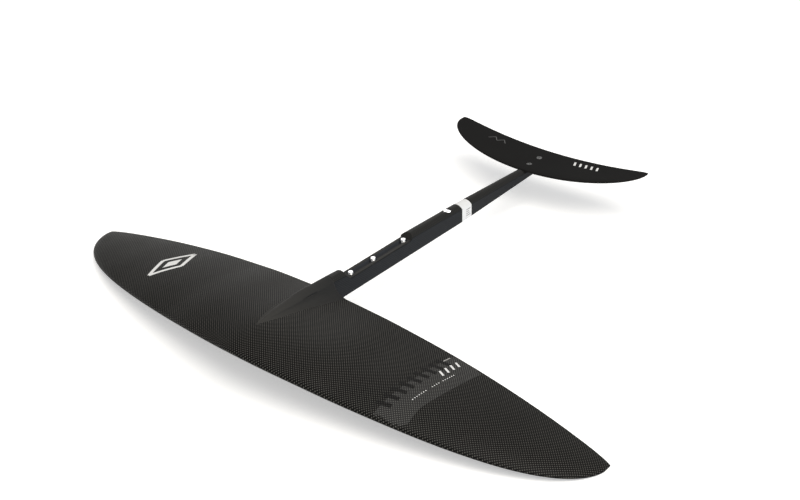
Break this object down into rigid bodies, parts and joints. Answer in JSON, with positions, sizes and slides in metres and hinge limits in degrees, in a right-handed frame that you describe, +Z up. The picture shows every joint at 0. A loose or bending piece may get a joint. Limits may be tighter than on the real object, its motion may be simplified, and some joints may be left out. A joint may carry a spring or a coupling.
{
  "type": "hydrofoil wing set",
  "caption": "Carbon hydrofoil front wing moulded with its fuselage, with a slotted mast seat, a bolted tail tube and a small rear stabiliser.",
  "frame": {"origin": "on the axis of the middle mast screw, in the plane of the mast seat", "axes": "X along the span, +Y aft towards the stabiliser, +Z up along the mast"},
  "size_m": [0.973, 0.7686, 0.086],
  "materials": {
    "wing_laminate": "satin woven carbon",
    "fuselage_laminate": "satin carbon",
    "tail_laminate": "satin carbon",
    "stabiliser_laminate": "matt carbon",
    "spar_laminate": "matt carbon",
    "spigot_laminate": "matt carbon",
    "seat_block": "matt",
    "foam": "matt closed-cell foam",
    "label_band": "white film",
    "stainless": "satin",
    "dark_screw": "matt"
  },
  "bodies": {
    "root": {"wing_upper_skin": "wing_laminate", "wing_lower_skin": "wing_laminate", "wing_spar": "spar_laminate", "wing_fore_core": "foam", "wing_aft_core_left": "foam", "wing_aft_core_right": "foam", "front_fuselage": "fuselage_laminate", "mast_seat_block": "seat_block", "mast_screw_front": "stainless", "mast_screw_middle": "stainless", "mast_screw_rear": "stainless", "mast_screw_cup_front": "stainless", "mast_screw_cup_middle": "stainless", "mast_screw_cup_rear": "stainless", "tail_spigot": "spigot_laminate", "joint_screw": "stainless", "joint_nut": "stainless", "tail_tube": "tail_laminate", "tail_band": "label_band", "tail_core": "foam", "stabiliser_seat": "seat_block", "stabiliser_insert_front": "stainless", "stabiliser_insert_rear": "stainless", "stabiliser_screw_front": "dark_screw", "stabiliser_screw_rear": "dark_screw", "stabiliser_upper_skin": "stabiliser_laminate", "stabiliser_lower_skin": "stabiliser_laminate", "stabiliser_core": "foam"}
  },
  "joints": []
}
